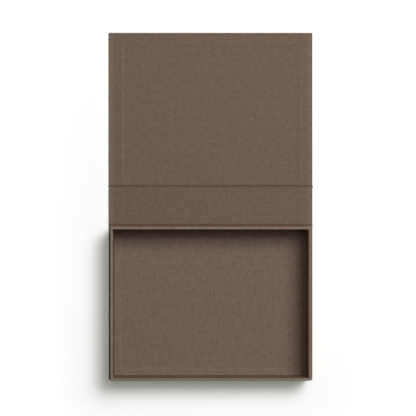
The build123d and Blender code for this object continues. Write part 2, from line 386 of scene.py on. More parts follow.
depths = dense(LID_SLOPE[1], LINING_END, LINING_STEP, [LID_RIDGE])
line = climb(LID_CUT, LID_SLOPE, CASE_TOP, LINING_END, (depths - depths[0]) / (depths[-1] - depths[0]))
depths = line[:, 0]
ridge_across = RIDGE_HALF + wander(depths, 1.0, LID_WANDER) * fading_in(depths, 45, 20)
ridge_along = LID_RIDGE + wander(across, 2.0, LID_WANDER)
outside_side = np.abs(across)[None, :] - ridge_across[:, None]
outside_end = depths[:, None] - ridge_along[None, :]

# The curl fades out before the end's turn-in and towards the joint, where the cloth is rubbed down
along_side = eased(-outside_end / CURL_FADE) * fading_in(depths, 36, 10)[:, None]
curl = LID_CURL * along_side
# The side ridges are painted paler, a painted highlight that fades where the curl fades
wear_and_highlight = ridge_highlight(outside_side, most=0.5) * along_side

# Where the two turn-ins lap at a corner, the lining rides over a narrow diagonal ridge
LAP_RISE = 0.16
LAP_SHIFT = 0.8
LAP_BREADTH = 1.6
in_corner = eased(np.minimum(outside_side, outside_end) / RIDGE_WIDTH)
mitre = LAP_RISE * bell(outside_side - outside_end, LAP_SHIFT, LAP_BREADTH) * in_corner
outside = np.maximum(outside_side, outside_end)
lid_lining = cloth_mesh("lid-lining", *lining_net(line, across, outside, curl, mitre), wear_and_highlight)

# %% The spine's lining
spine_middle = (SPINE_NEAR + SPINE_FAR) / 2


def over_spine(level, count):
    """The line of a sheet out of one of the spine's grooves, over the board and into the other groove."""
    near_half = climb(SPINE_NEAR_CUT, SPINE_NEAR_SLOPE, level, spine_middle, even(count))
    far_half = climb(SPINE_FAR_CUT, SPINE_FAR_SLOPE, level, spine_middle, even(count))
    return np.vstack([near_half, far_half[-2::-1]])


line = over_spine(CASE_TOP, 7)
from_middle = np.abs(line[:, 0] - spine_middle)
ridge_across = RIDGE_HALF + wander(line[:, 0], 3.0, 0.2) * eased((25 - from_middle) / 10)
outside = np.abs(across)[None, :] - ridge_across[:, None]
along_side = eased((24 - from_middle) / 8)[:, None]
curl = SPINE_CURL * along_side
# The spine's ridges get a fainter painted highlight
wear_and_highlight = ridge_highlight(outside, most=0.25) * along_side
spine_lining = cloth_mesh("spine-lining", *lining_net(line, across, outside, curl), wear_and_highlight)

# %% [markdown]
# The case's cover cloth goes round three edges of the lid and of the base, and two of the spine. Seen in
# section it is a C that holds the board. For the spine that section is swept straight across. For the
# lid and the base it is carried along one side, round the corner, across the end and back, and the
# flat cloth under the board closes it. Each station along the way has its own height, so the same
# sweep also follows the cloth down into the groove.

# %% The section of a covered edge
EDGE_ROUND = 0.6
CORNER_ROUND = 1.0
TOP_INSETS = np.array([TURN_IN, 19.0, 16.0, 13.0, 10.5, 8.8, 7.2, 5.5, 4.0, 2.6, 1.4])
UNDER_INSETS = np.array([1.4, 3.0, 6.0, 10.0, 16.0, TURN_IN])

# Each net's bottom, the inset of its side, its largest bend and its least inset beyond the side
FACE_SECTION = (0.0, 0.0, EDGE_ROUND, 0.75)
BACK_SECTION = (CLOTH, CLOTH, 0.15, 0.2)

# The least height of a section, and how far its two bends stay apart
LEAST_ABOVE = 0.02
BENDS_APART = 0.005

# A covered edge is rubbed over a narrow breadth, down to a share of the case's thickness
EDGE_WEAR = 0.3
WEAR_BREADTH = 1.2
WEAR_LOWEST = 0.4


def covered_edge(top, bottom, side, round_most, inset_least):
    """Insets and heights round one edge, for a column of top heights: over, round, down and under."""
    top = np.asarray(top)[:, None]
    bend = np.minimum(round_most, (top - bottom) * 0.5 - BENDS_APART)
    angle = np.radians(np.linspace(0, 90, BENDS + 1))[None, :]
    over = np.maximum(TOP_INSETS, side + inset_least)[None, :] + 0 * top
    under = np.maximum(UNDER_INSETS, side + inset_least)[None, :] + 0 * top
    closing = bend * (1 - np.sin(angle))
    opening = bend * (1 - np.cos(angle))
    insets = [over, side + closing, side + opening, under]
    heights = [top + 0 * over, top - opening, bottom + closing, bottom + 0 * under]
    return np.hstack(insets), np.hstack(heights)


def section_length(insets, heights):
    """How far round the section each point lies, from the flat cloth under the board outwards."""
    steps = np.hypot(np.diff(insets, axis=1), np.diff(heights, axis=1))
    return np.hstack([np.cumsum(steps[:, ::-1], axis=1)[:, ::-1], np.zeros((len(insets), 1))])


def edge_wear(insets, heights):
    """How much a covered edge is rubbed: most at the edge itself, and nothing under the board."""
    return EDGE_WEAR * bell(insets, 0.0, WEAR_BREADTH) * (heights > TURNED_TOP * WEAR_LOWEST)


sample = covered_edge([TURNED_TOP], *FACE_SECTION)
print("a section has", sample[0].shape[1], "points")

# %% Sweep it round three edges
def three_edges(name, cut, slope, end):
    """The cover of a panel that is turned in on three sides, with the groove at y = cut."""
    toward = math.copysign(1, end - cut)
    start, stop = toward * cut, toward * end
    line = climb(start, (toward * slope[0], toward * slope[1]), TURNED_TOP, stop - CORNER_ROUND, even(40))
    under_line = line - CLOTH * outward(line)
    angles = np.radians([18, 36, 54, 72])
    shares = even(34)[1:]

    # One row for each station: how far the corner's arc has turned, and the point that it turns about
    end_rows = len(angles) + 1 + len(shares)
    tops = np.concatenate([line[:, 1], np.full(end_rows, TURNED_TOP)])
    backs = np.concatenate([under_line[:, 1], np.full(end_rows, BOARD_TOP)])
    backs = np.maximum(backs, CLOTH + LEAST_ABOVE)
    nets = []
    for net_tops, section, depth_line in ((tops, FACE_SECTION, line), (backs, BACK_SECTION, under_line)):
        insets, heights = covered_edge(net_tops, *section)
        rows = []
        for i in range(len(tops)):
            inset = insets[i]
            half, far = HALF_CASE - inset, stop - inset
            if i < len(line):
                share = (line[i, 0] - start) / (line[-1, 0] - start)
                x, y = half, depth_line[i, 0] - share * inset
            elif i < len(line) + len(angles):
                angle = angles[i - len(line)]
                x = half - CORNER_ROUND * (1 - math.cos(angle))
                y = far - CORNER_ROUND * (1 - math.sin(angle))
            else:
                share = 1 - ([0.0] + list(shares))[i - len(line) - len(angles)]
                x, y = (half - CORNER_ROUND) * share, far + 0 * inset
            rows.append(np.stack([x + 0 * inset, y, heights[i]], axis=-1))
        half_net = np.array(rows)
        mirrored = half_net[-2::-1] * (-1, 1, 1)
        nets.append(np.concatenate([half_net, mirrored]) * (1, toward, 1))
        if section is FACE_SECTION:
            reach = section_length(insets, heights)
            wear_and_highlight_paling = edge_wear(insets, heights)

    # The flat cloth: from the section's last point outwards, at right angles to the board's edges
    flat = nets[0][:, -1:, :2].repeat(nets[0].shape[1], axis=1)
    out_x = np.concatenate([np.ones(len(line)), np.cos(angles) > 0.3, np.zeros(len(shares) + 1)])
    out_y = np.concatenate([np.zeros(len(line)), np.sin(angles) > 0.3, np.ones(len(shares) + 1)])
    out_x = np.concatenate([out_x, -out_x[-2::-1]])
    out_y = np.concatenate([out_y, out_y[-2::-1]]) * toward
    reach = np.concatenate([reach, reach[-2::-1]])
    threads = flat + np.stack([out_x[:, None] * reach, out_y[:, None] * reach], axis=-1)
    threads[: len(line), :, 1] = nets[0][: len(line), :, 1]
    threads[-len(line) :, :, 1] = nets[0][-len(line) :, :, 1]
    wear_and_highlight_paling = np.concatenate([wear_and_highlight_paling, wear_and_highlight_paling[-2::-1]])
    return cloth_mesh(name, nets[0], nets[1], threads, wear_and_highlight_paling, plate=True)


lid_cover = three_edges("lid-cover-cloth", LID_CUT, LID_SLOPE, LID_END)
base_cover = three_edges("base-cover-cloth", BASE_CUT, BASE_SLOPE, BASE_END)

# %% The spine's cover, turned in at its two ends
spine_line = over_spine(TURNED_TOP, 8)
spine_back = spine_line - CLOTH * outward(spine_line)
nets = []
for line, section in ((spine_line, FACE_SECTION), (spine_back, BACK_SECTION)):
    insets, heights = covered_edge(np.maximum(line[:, 1], section[0] + LEAST_ABOVE), *section)
    right = np.stack([HALF_CASE - insets, line[:, :1] + 0 * insets, heights], axis=-1)
    nets.append(np.concatenate([right, right[:, ::-1] * (-1, 1, 1)], axis=1))
    if section is FACE_SECTION:
        reach = PRESSED_HALF + section_length(insets, heights)
        wear_and_highlight_paling = edge_wear(insets, heights)
flat_x = np.concatenate([reach, -reach[:, ::-1]], axis=1)
threads = np.stack([flat_x, nets[0][..., 1]], axis=-1)
wear_and_highlight_paling = np.concatenate([wear_and_highlight_paling, wear_and_highlight_paling[:, ::-1]], axis=1)
spine_cover = cloth_mesh("spine-cover-cloth", nets[0], nets[1], threads, wear_and_highlight_paling)

# %% [markdown]
# The base's lining is only the end of the long lining: it comes up out of the groove and is nipped under
# the back wall of the tray. It is short and hidden, but the groove would show a gap without it.

# %% The end of the lining under the tray
TAB_END = span("base_lining")[0][1]
base_climb = climb(BASE_CUT, BASE_SLOPE, BOARD_TOP + LINING, TAB_END, even(6))
TAB_HALF = PRESSED_HALF - 0.8
tab_across = dense(-TAB_HALF, TAB_HALF, 8.0, [])
lean = -outward(base_climb)
face = np.stack(np.broadcast_arrays(tab_across[None, :], base_climb[:, :1], base_climb[:, 1:]), axis=-1)
back = face - LINING * np.stack([0 * lean[:, 0], lean[:, 0], lean[:, 1]], axis=-1)[:, None]
base_lining = cloth_mesh("base-lining", face, back, face[..., :2])

# %% [markdown]
# The tray's walls wear one cloth that runs from under the tray, up the outside, over the rim and down
# to the floor inside. That is one section again, carried round a closed ring: a rectangle with small
# round corners. The outside corners are rounder than the inside ones, because outside the cloth lies
# round board and paper, and inside it is pushed into the corner.

# %% The tray's sizes
tray_low, tray_high = span("tray_wall_cloth")
TRAY_MIDDLE = (tray_low[1] + tray_high[1]) / 2
TRAY_HALF_X = tray_high[0]
TRAY_HALF_Y = (tray_high[1] - tray_low[1]) / 2
RIM = tray_high[2]
WALL = 3.8
FOOT = 7.0
FLOOR_BAND = span("tray_floor_lining")[1][2]
FLOOR_LOW = FLOOR_BAND - CLOTH

# The tray's corners in the ring's order, and the way that the side after each one faces
CORNERS = ((1, 1), (-1, 1), (-1, -1), (1, -1))
FACING = ((0, 1), (-1, 0), (0, -1), (1, 0))


def ring(inset, corner, long_runs=72, short_runs=56, arc_steps=6):
    """Points round the tray at an inset from its outside, with rounded corners, and their directions."""
    half_x, half_y = TRAY_HALF_X - inset - corner, TRAY_HALF_Y - inset - corner
    points = []
    outwards = []
    for quarter, (sign_x, sign_y) in enumerate(CORNERS):
        start = (sign_x * half_x, sign_y * half_y)
        for step in range(arc_steps + 1):
            angle = math.radians(90 * (quarter + step / arc_steps))
            direction = (math.cos(angle), math.sin(angle))
            points.append([start[k] + corner * direction[k] for k in (0, 1)])
            outwards.append(direction)
        ahead = CORNERS[(quarter + 1) % 4]
        end = (ahead[0] * half_x, ahead[1] * half_y)
        side = FACING[quarter]
        count = long_runs if quarter % 2 == 0 else short_runs
        for share in even(count + 1)[1:-1]:
            points.append([start[k] + (end[k] - start[k]) * share + corner * side[k] for k in (0, 1)])
            outwards.append(side)
    return np.array(points) + (0, TRAY_MIDDLE), np.array(outwards, dtype=float)


print(f"tray {2 * TRAY_HALF_X:.0f} x {2 * TRAY_HALF_Y:.1f} mm, rim at {RIM:.1f} mm")

# %% The cloth over the walls
TURN_UNDER = 15.0
FOOT_TOP = FLOOR_BAND - LINING
OUTER_CORNER = 1.2
INSIDE_TIGHTER = 0.8
UNDER_POINTS = 5 + BENDS
RIM_BREADTH = 0.6

# The front wall leans out by a hair, as the papers press on it
FRONT_LEAN = 0.15

# Inset grows to the right, and the line runs up outside, over the rim and down inside
under_tray = [(TURN_UNDER, TURNED_TOP), (0.0, TURNED_TOP)]
over_rim = [(0.0, RIM), (WALL, RIM)]
on_floor = [(WALL, FOOT_TOP), (WALL + FOOT, FOOT_TOP)]
wall_line = folded_line(
    under_tray + over_rim + on_floor,
    [0.5, 1.5, 0.8, 0.25],
    [even(5)[:-1], even(24), even(7), even(22), even(6)],
)
wall_back = wall_line - CLOTH * outward(wall_line)
corner_by_inset = OUTER_CORNER - INSIDE_TIGHTER * fading_in(wall_line[:, 0], 0.5, WALL - 0.5)
corner_by_inset[:UNDER_POINTS] = OUTER_CORNER
length_round = distances(wall_line)

face_columns = []
back_columns = []
for (inset, height), (back_inset, back_height), corner in zip(wall_line, wall_back, corner_by_inset):
    points, outwards = ring(inset, corner)
    along = np.arctan2(points[:, 1] - TRAY_MIDDLE, points[:, 0]) * 150
    uneven = (wander(along, 5.0, 0.12) - 0.1) * fading_in(height, 40, 14)
    at_front = eased((TRAY_MIDDLE - points[:, 1]) / TRAY_HALF_Y * 8 - 7)
    leaning = FRONT_LEAN * fading_in(height, 8, 47) * at_front
    face_columns.append(np.column_stack([points[:, 0], points[:, 1] - leaning, height + uneven]))
    points, outwards = ring(back_inset, max(corner - CLOTH, 0.05))
    back_columns.append(np.column_stack([points[:, 0], points[:, 1] - leaning, back_height + uneven]))
face = np.stack(face_columns, axis=1)
back = np.stack(back_columns, axis=1)

# The warp runs round the box, and the weft runs up and over the wall
rim_points = ring(0.0, OUTER_CORNER)[0]
rim_steps = np.linalg.norm(np.roll(rim_points, -1, axis=0) - rim_points, axis=1)
round_length = np.concatenate([[0.0], np.cumsum(rim_steps)])
threads = np.stack(np.broadcast_arrays(round_length[:-1, None], length_round[None, :]), axis=-1)
on_rim = bell(np.maximum(RIM - wall_line[:, 1], 0), 0.0, RIM_BREADTH)

# The rim is painted paler, partly as wear and partly as a painted highlight: fully on the left and front,
# less at the back and not on the right. The left wall's inside face, which faces the lamps, is painted
# paler
# too: painted light.
rim_pale_share = 1 - np.maximum(outwards[:, 0], 0) - 0.3 * np.maximum(outwards[:, 1], 0)
inside_face = eased((wall_line[:, 0] - WALL + 0.4) / 0.3) * eased((wall_line[:, 1] - FLOOR_BAND) / 3)
rim_wear_and_painted_light = rim_pale_share[:, None] * on_rim + 0.5 * np.maximum(-outwards[:, :1], 0) * inside_face * (1 - on_rim)
tray_walls = cloth_mesh("tray-wall-cloth", face, back, threads, rim_wear_and_painted_light, round_trip=round_length[-1])

# %% [markdown]
# The floor lining is the last sheet to go in. It is stiff, so it does not drop sharply inside the foot
# of the wall cloth but slopes down over a finger's breadth, and its own edge turns up a little where it
# meets the walls. From above, that slope is the pale frame round the floor, and the slope and the edge by
# the walls are also painted paler, as a painted highlight.

# %% The tray's floor lining
FRAME_START = 5.2
FRAME_WIDTH = 6.6
FRAME_RISE = 1.1
EDGE_LIFT = 0.5
EDGE_REACH = 2.2

floor_low, floor_high = span("tray_floor_lining")
floor_half_x, floor_half_y = floor_high[0], (floor_high[1] - floor_low[1]) / 2


def floor_places(half):
    """Places across the floor, closer together by the walls and on the slope of the frame."""
    slope = half - (FRAME_START + FRAME_WIDTH / 2)
    return dense(-half, half, 5.0, [-half, -slope, slope, half], 4.4, 0.44)


floor_x = floor_places(floor_half_x)
floor_y = floor_places(floor_half_y)
from_side = floor_half_x - np.abs(floor_x)[None, :] + wander(floor_y, 7.0, 0.3)[:, None]
from_end = floor_half_y - np.abs(floor_y)[:, None] + wander(floor_x, 8.0, 0.3)[None, :]
to_wall = np.minimum(floor_half_x - np.abs(floor_x)[None, :], floor_half_y - np.abs(floor_y)[:, None])
frame_height = FRAME_RISE * eased(1 - (np.minimum(from_side, from_end) - FRAME_START) / FRAME_WIDTH)
height = FLOOR_LOW + frame_height + EDGE_LIFT * eased(1 - to_wall / EDGE_REACH)
on_slope = 1 - np.abs(2 * frame_height / FRAME_RISE - 1)
# The frame's slope and the edge by the walls are painted paler: a painted highlight
floor_highlight = 0.2 * on_slope + 0.65 * eased(1.3 - to_wall / EDGE_REACH)
grid_y, grid_x = np.meshgrid(floor_y + TRAY_MIDDLE, floor_x, indexing="ij")
face = np.stack([grid_x, grid_y, height], axis=-1)
tray_floor = cloth_mesh("tray-floor-lining", face, face - (0, 0, LINING), face[..., :2], floor_highlight)

# %% [markdown]
# The two joints are strips of cloth that bend, and they follow one rule: up a slope on each side, single
# in the middle, doubled at the ends, and a little swollen where the fold has no board in it. That is
# work for Geometry Nodes. A tree starts from a finely divided block and moves its points by a formula,
# and its inputs are the sizes, so one tree makes the outer cloth and the lining of both joints. The maths
# is written as Python expressions: a small class wraps a socket, and each operator adds one Math node.

# %% Sockets that can be used in sums
def math_node(operation, swapped=False):
    """The method for one Python operator: a Math node of a socket and another value."""

    def combine(self, other):
        first, second = (other, self) if swapped else (self, other)
        return self.tree.node("ShaderNodeMath", {0: first, 1: second}, operation=operation)

    return combine


class Socket:
    """A socket of a node tree that takes part in Python sums."""

    def __init__(self, tree, socket):
        self.tree = tree
        self.socket = socket

    __add__ = math_node("ADD")
    __radd__ = math_node("ADD", swapped=True)
    __sub__ = math_node("SUBTRACT")
    __rsub__ = math_node("SUBTRACT", swapped=True)
    __mul__ = math_node("MULTIPLY")
    __rmul__ = math_node("MULTIPLY", swapped=True)
    __truediv__ = math_node("DIVIDE")
    __pow__ = math_node("POWER")
    at_least = math_node("MAXIMUM", swapped=True)
    at_most = math_node("MINIMUM", swapped=True)

    def function(self, operation):
        """A Math node that takes this socket alone."""
        return self.tree.node("ShaderNodeMath", {0: self}, operation=operation)

    def __abs__(self):
        return self.function("ABSOLUTE")

    def clipped(self, low, high):
        return self.at_most(high).at_least(low)


class Tree:
    """A node tree, and the one way in which this script adds nodes to it."""

    def __init__(self, node_tree):
        self.nodes = node_tree.nodes
        self.links = node_tree.links

    def node(self, kind, inputs=None, output=0, stops=None, **settings):
        """Adds a node: its settings first, then the values or links of its sockets. Gives one output."""
        made = self.nodes.new(kind)
        for key, value in settings.items():
            setattr(made, key, value)
        if stops:
            ramp = made.color_ramp
            while len(ramp.elements) < len(stops):
                ramp.elements.new(0.5)
            for element, (place, colour) in zip(ramp.elements, stops):
                element.position = place
                element.color = colour
        for key, value in (inputs or {}).items():
            if isinstance(value, Socket):
                self.links.new(value.socket, made.inputs[key])
            else:
                made.inputs[key].default_value = value
        return Socket(self, made.outputs[output]) if len(made.outputs) else made


def emptied_tree(holder):
    """The node tree of a new material or sky, with nothing in it yet."""
    holder.use_nodes = True
    holder.node_tree.nodes.clear()
    return Tree(holder.node_tree)


print("sockets add, subtract, multiply, divide and raise")

# %% The tree of a joint strip
strip_nodes = bpy.data.node_groups.new("joint strip", "GeometryNodeTree")
strip_nodes.interface.new_socket("Geometry", in_out="OUTPUT", socket_type="NodeSocketGeometry")
strip_nodes.interface.new_socket("Geometry", in_out="INPUT", socket_type="NodeSocketGeometry")
STRIP_INPUTS = {
    "Half length": 0.16,
    "Near": 0.0,
    "Far": 0.006,
    "Near foot": 0.001,
    "Near top": -0.001,
    "Far foot": 0.005,
    "Far top": 0.007,
    "Groove depth": 0.002,
    "Bottom": 0.0,
    "Thickness": 0.0004,
    "Filled": 0.0,
    "Doubled": 0.0,
    "Raised": 0.0004,
    "Turn-in edge": 0.138,
    "Turn-in softness": 0.0015,
    "Swelling": 0.0,
}
for label, value in STRIP_INPUTS.items():
    socket = strip_nodes.interface.new_socket(label, in_out="INPUT", socket_type="NodeSocketFloat")
    socket.default_value = value
strip_nodes.interface.new_socket("Cloth", in_out="INPUT", socket_type="NodeSocketMaterial")

tree = Tree(strip_nodes)
given = strip_nodes.nodes.new("NodeGroupInput")
size = {label: Socket(tree, given.outputs[label]) for label in STRIP_INPUTS}

divided = {"Size": (2, 1, 1), "Vertices X": 260, "Vertices Y": 19, "Vertices Z": 7}
block = tree.node("GeometryNodeMeshCube", divided)
place = tree.node("GeometryNodeInputPosition")
x, y, z = (tree.node("ShaderNodeSeparateXYZ", {0: place}, output=axis) for axis in range(3))


def soft_step(value, start, stop):
    """0 at start, 1 at stop, and a soft S between them."""
    ends = {"Value": value, "From Min": start, "From Max": stop}
    return tree.node("ShaderNodeMapRange", ends, interpolation_type="SMOOTHSTEP")


# Across the box, the stations crowd together towards the two ends, where the fold is tight
along = (x * (math.pi / 2)).function("SINE")
depth = size["Near"] + (size["Far"] - size["Near"]) * (y + 0.5)
from_middle = abs(along * size["Half length"])
softness = size["Turn-in softness"] * 0.5
turned = soft_step(from_middle, size["Turn-in edge"] - softness, size["Turn-in edge"] + softness)
near_slope = soft_step(depth, size["Near foot"], size["Near top"])
far_slope = soft_step(depth, size["Far foot"], size["Far top"])
rise = size["Groove depth"] * (near_slope + far_slope)
hump = (1 - (y * (2 * math.pi) + math.pi).function("COSINE")) * 0.5

# The doubled end is a fold, so its edge is round: the height shrinks like a circle over the last bit
layers = size["Thickness"] * (1 + size["Doubled"] * turned) + rise * size["Filled"]
to_end = (size["Half length"] - from_middle) / (size["Thickness"] * 1.5 + 0.00001)
roundness = (1 - (1 - to_end.clipped(0.0, 1.0)) ** 2).clipped(0.0001, 1.0) ** 0.5
round_end = 1 - size["Doubled"] * (1 - roundness)
lifted = size["Bottom"] + size["Raised"] * turned + rise * (1 - size["Filled"])
new_z = lifted + layers * 0.5 + layers * z * round_end
swollen = 1 + turned * size["Swelling"] * hump / size["Half length"]
new_x = along * size["Half length"] * swollen
new_place = tree.node("ShaderNodeCombineXYZ", {0: new_x, 1: depth, 2: new_z})
moved = tree.node("GeometryNodeSetPosition", {"Geometry": block, "Position": new_place})
laid_flat = tree.node("GeometryNodeInputPosition")
woven = tree.node(
    "GeometryNodeStoreNamedAttribute",
    {"Geometry": moved, "Name": "threads", "Value": laid_flat},
    data_type="FLOAT2",
    domain="CORNER",
)
smooth = tree.node("GeometryNodeSetShadeSmooth", {"Geometry": woven})
real = tree.node("GeometryNodeRealizeInstances", {"Geometry": smooth})
cloth_given = Socket(tree, given.outputs["Cloth"])
clothed = tree.node("GeometryNodeSetMaterial", {"Geometry": real, "Material": cloth_given})
result = strip_nodes.nodes.new("NodeGroupOutput")
strip_nodes.links.new(clothed.socket, result.inputs[0])
print("the strip's tree has", len(strip_nodes.nodes), "nodes")

# %% [markdown]
# Book linen is a plain weave of uneven threads, dyed and backed with paper. From a step away the weave
# itself blurs, and what is left is fine streaks along both thread directions, where a thread is thick
# or thin. The material therefore has three scales: the weave as bump, the slubs as streaks in colour
# and bump, and a very faint cloudiness from the glue. All of it reads the flat places of the cloth.

# %% The linen material
THREAD = 0.00052
WEFT_WIDER = 1.08


def streaks(tree, flat_x, flat_y, scale_x, scale_y, seed):
    """Noise that is drawn out along one thread direction, around 0."""
    place = tree.node("ShaderNodeCombineXYZ", {0: flat_x * scale_x, 1: flat_y * scale_y, 2: seed})
    drawn = {"Vector": place, "Scale": 1.0, "Detail": 2.0, "Roughness": 0.6}
    return tree.node("ShaderNodeTexNoise", drawn) - 0.5


def book_linen(name, tint, tone=1.0, wear_and_highlight_paling=(1.2, 1.22, 1.25), ribbed=0.12, grain=0.38):
    """Woven book cloth of one tint. Tone lightens or darkens it, the paling for wear and highlights is how
    far marked places pale in red, green and blue at worn edges and painted highlights, ribbed is the
    strength of the warp's long slubs, and grain that of the short ones."""
    material = bpy.data.materials.new(name)
    tree = emptied_tree(material)
    flat = tree.node("ShaderNodeUVMap", uv_map="threads")
    flat_x, flat_y = (tree.node("ShaderNodeSeparateXYZ", {0: flat}, output=axis) for axis in (0, 1))

    # Threads wander a little, so the weave never makes a regular moire
    bent_x = flat_x + streaks(tree, flat_x, flat_y, 300, 60, 3.1) * THREAD * 1.2
    bent_y = flat_y + streaks(tree, flat_x, flat_y, 60, 300, 7.7) * THREAD * 1.2
    warp = (bent_x * (math.pi / THREAD)).function("SINE")
    weft = (bent_y * (math.pi / (THREAD * WEFT_WIDER))).function("SINE")
    weave = abs(warp * weft) ** 0.7

    short_slubs = streaks(tree, flat_x, flat_y, 380, 220, 11.0)
    short_slubs = short_slubs + streaks(tree, flat_x, flat_y, 220, 380, 23.0)
    warp_slubs = streaks(tree, flat_x, flat_y, 640, 40, 31.0)
    weft_slubs = streaks(tree, flat_x, flat_y, 60, 700, 43.0)
    clouds = streaks(tree, flat_x, flat_y, 120, 120, 57.0)
    # Marked places pale: worn edges, and painted highlights on ridges, rims and the floor's frame
    wear_and_highlight = tree.node("ShaderNodeAttribute", output="Fac", attribute_name="wear_and_highlight")

    # Some threads took the dye a little warmer, and some a little greener
    dye = streaks(tree, flat_x, flat_y, 210, 170, 71.0)
    shade = 1 + grain * short_slubs + ribbed * 2 * warp_slubs + 0.2 * weft_slubs + 0.32 * clouds
    shade = shade * (0.94 + 0.1 * weave) * tone
    dyed = (shade * (1 + 0.14 * dye), shade * (1 - 0.06 * dye), shade * (1 - 0.4 * dye))
    red, green, blue = (part * (1 + wear_and_highlight * (pale - 1)) for part, pale in zip(dyed, wear_and_highlight_paling))
    colour = tree.node(
        "ShaderNodeMix",
        {0: 1.0, 6: (*tint, 1.0), 7: tree.node("ShaderNodeCombineColor", {0: red, 1: green, 2: blue})},
        output=2,
        data_type="RGBA",
        blend_type="MULTIPLY",
    )
    relief = weave * 0.35 + short_slubs * 0.7 + (warp_slubs + weft_slubs) * 0.4
    bump = tree.node("ShaderNodeBump", {"Strength": 0.35, "Distance": 0.0001, "Height": relief})
    surface = tree.node(
        "ShaderNodeBsdfPrincipled",
        {
            "Base Color": colour,
            "Roughness": 0.94 - 0.06 * weave,
            "Specular IOR Level": 0.1,
            "Normal": bump,
        },
    )
    tree.node("ShaderNodeOutputMaterial", {"Surface": surface})
    return material


LINEN_TINT = (0.17, 0.122, 0.0925)
# The walls' linen is tinted deeper than the rest, as painted shade, since the walls are mostly seen in
# shade
SHADE_DEEPENED_WALL_TINT = (0.17, 0.1115, 0.0815)
JOINT_TINT = (0.17, 0.1145, 0.0845)
# One linen in several tones: the linings of the lid, the spine and the joints are darker than the floor's,
# as painted shade that evens out how the light falls along the box
floor_linen = book_linen("taupe floor linen", LINEN_TINT, tone=0.975, ribbed=0.26)
# Where the tray's cloth is painted paler, at the rim and the left wall's inside face, it also turns greyer
tray_linen = book_linen("taupe tray linen", SHADE_DEEPENED_WALL_TINT, tone=1.02, wear_and_highlight_paling=(1.29, 1.44, 1.52))
lining_linen = book_linen("taupe lining linen", LINEN_TINT, tone=0.875)
spine_linen = book_linen("taupe spine linen", LINEN_TINT, tone=0.85)
cover_linen = book_linen("taupe cover linen", LINEN_TINT)
joint_linen = book_linen("taupe joint linen", JOINT_TINT, tone=0.86)
print("linen made in", len(bpy.data.materials), "finishes")

# %% [markdown]
# The boards and the paper stays are hidden in the cloth, but they are real pieces and get the finish of
# their stuff: grey board is pressed waste paper, with pale and dark flecks, and the stays are brown
# kraft paper with fine fibres.

# %% Board and paper
def pulp(name, pale, dark, fleck_scale, roughness):
    """Uncoated board or paper: two tones of pulp, mixed by noise, with a slight tooth."""
    material = bpy.data.materials.new(name)
    tree = emptied_tree(material)
    place = tree.node("ShaderNodeTexCoord", output="Object")
    flecks = tree.node("ShaderNodeTexNoise", {"Vector": place, "Scale": fleck_scale, "Detail": 6.0})
    cloud = tree.node("ShaderNodeTexNoise", {"Vector": place, "Scale": fleck_scale * 0.08, "Detail": 2.0})
    mix = (flecks * 1.6 + cloud * 0.5 - 0.55).clipped(0.0, 1.0)
    colour = tree.node("ShaderNodeMix", {0: mix, 6: (*dark, 1), 7: (*pale, 1)}, output=2, data_type="RGBA")
    bump = tree.node("ShaderNodeBump", {"Strength": 0.3, "Distance": 0.0001, "Height": flecks})
    surface = tree.node(
        "ShaderNodeBsdfPrincipled",
        {"Base Color": colour, "Roughness": roughness, "Specular IOR Level": 0.2, "Normal": bump},
    )
    tree.node("ShaderNodeOutputMaterial", {"Surface": surface})
    return material


grey_board = pulp("pressed grey board", (0.4, 0.37, 0.32), (0.27, 0.245, 0.21), 900.0, 0.92)
kraft_paper = pulp("brown kraft paper", (0.47, 0.31, 0.18), (0.36, 0.22, 0.12), 1400.0, 0.85)
for node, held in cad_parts.items():
    stuff = grey_board if node.endswith("board") else kraft_paper if node.endswith("stay") else None
    if stuff:
        held.data.materials.clear()
        held.data.materials.append(stuff)
print("boards:", sum(node.endswith("board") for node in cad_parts))

# %% Make the four joint strips
def joint_strip(name, cloth, sizes):
    """One strip from the tree, with the inputs that differ from its defaults, as a plain mesh."""
    maker = placed(name, bpy.data.meshes.new("block"))
    modifier = maker.modifiers.new("strip", "NODES")
    modifier.node_group = strip_nodes
    items = strip_nodes.interface.items_tree
    sockets = {item.name: item.identifier for item in items if item.in_out == "INPUT"}
    modifier[sockets["Cloth"]] = cloth
    for label, value in sizes.items():
        modifier[sockets[label]] = value
    evaluated = maker.evaluated_get(bpy.context.evaluated_depsgraph_get())
    mesh = bpy.data.meshes.new_from_object(evaluated)
    maker.modifiers.clear()
    block_mesh = maker.data
    maker.data = mesh
    bpy.data.meshes.remove(block_mesh)
    mesh.name = name
    mesh.attributes.new("wear_and_highlight", "FLOAT", "POINT")
    mesh.set_sharp_from_angle(angle=SHARP_ANGLE)
    print(f"{name}: {len(mesh.polygons)} faces, closed: {all_closed(mesh)}")
    return maker


SWELLING = 0.95
GROOVES = {
    "base": (BASE_CUT, SPINE_NEAR_CUT, BASE_SLOPE, SPINE_NEAR_SLOPE),
    "lid": (SPINE_FAR_CUT, LID_CUT, SPINE_FAR_SLOPE, LID_SLOPE),
}
joints = {}
for groove, (near, far, near_slope, far_slope) in GROOVES.items():
    common = {
        "Near": near * MM,
        "Far": far * MM,
        "Near foot": near_slope[0] * MM,
        "Near top": near_slope[1] * MM,
        "Far foot": far_slope[0] * MM,
        "Far top": far_slope[1] * MM,
        "Groove depth": GROOVE_DEPTH * MM,
        "Turn-in edge": PRESSED_HALF * MM,
    }
    outer = {
        "Half length": HALF_CASE * MM,
        "Thickness": CLOTH * MM,
        "Filled": 1.0,
        "Doubled": 1.0,
        "Swelling": SWELLING * MM,
        "Raised": 0.0,
    }
    inner = {"Half length": HALF_LINING * MM, "Bottom": CLOTH * MM, "Thickness": LINING * MM}
    joints[groove, "cloth"] = joint_strip(f"{groove}-joint-cloth", cover_linen, common | outer)
    joints[groove, "lining"] = joint_strip(f"{groove}-joint-lining", joint_linen, common | inner)

# %% [markdown]
# Each piece hides the CAD node that it takes the place of, and all but the four joint strips ride on the
# body that carries them. The strips stay where the tree put them, on no body.

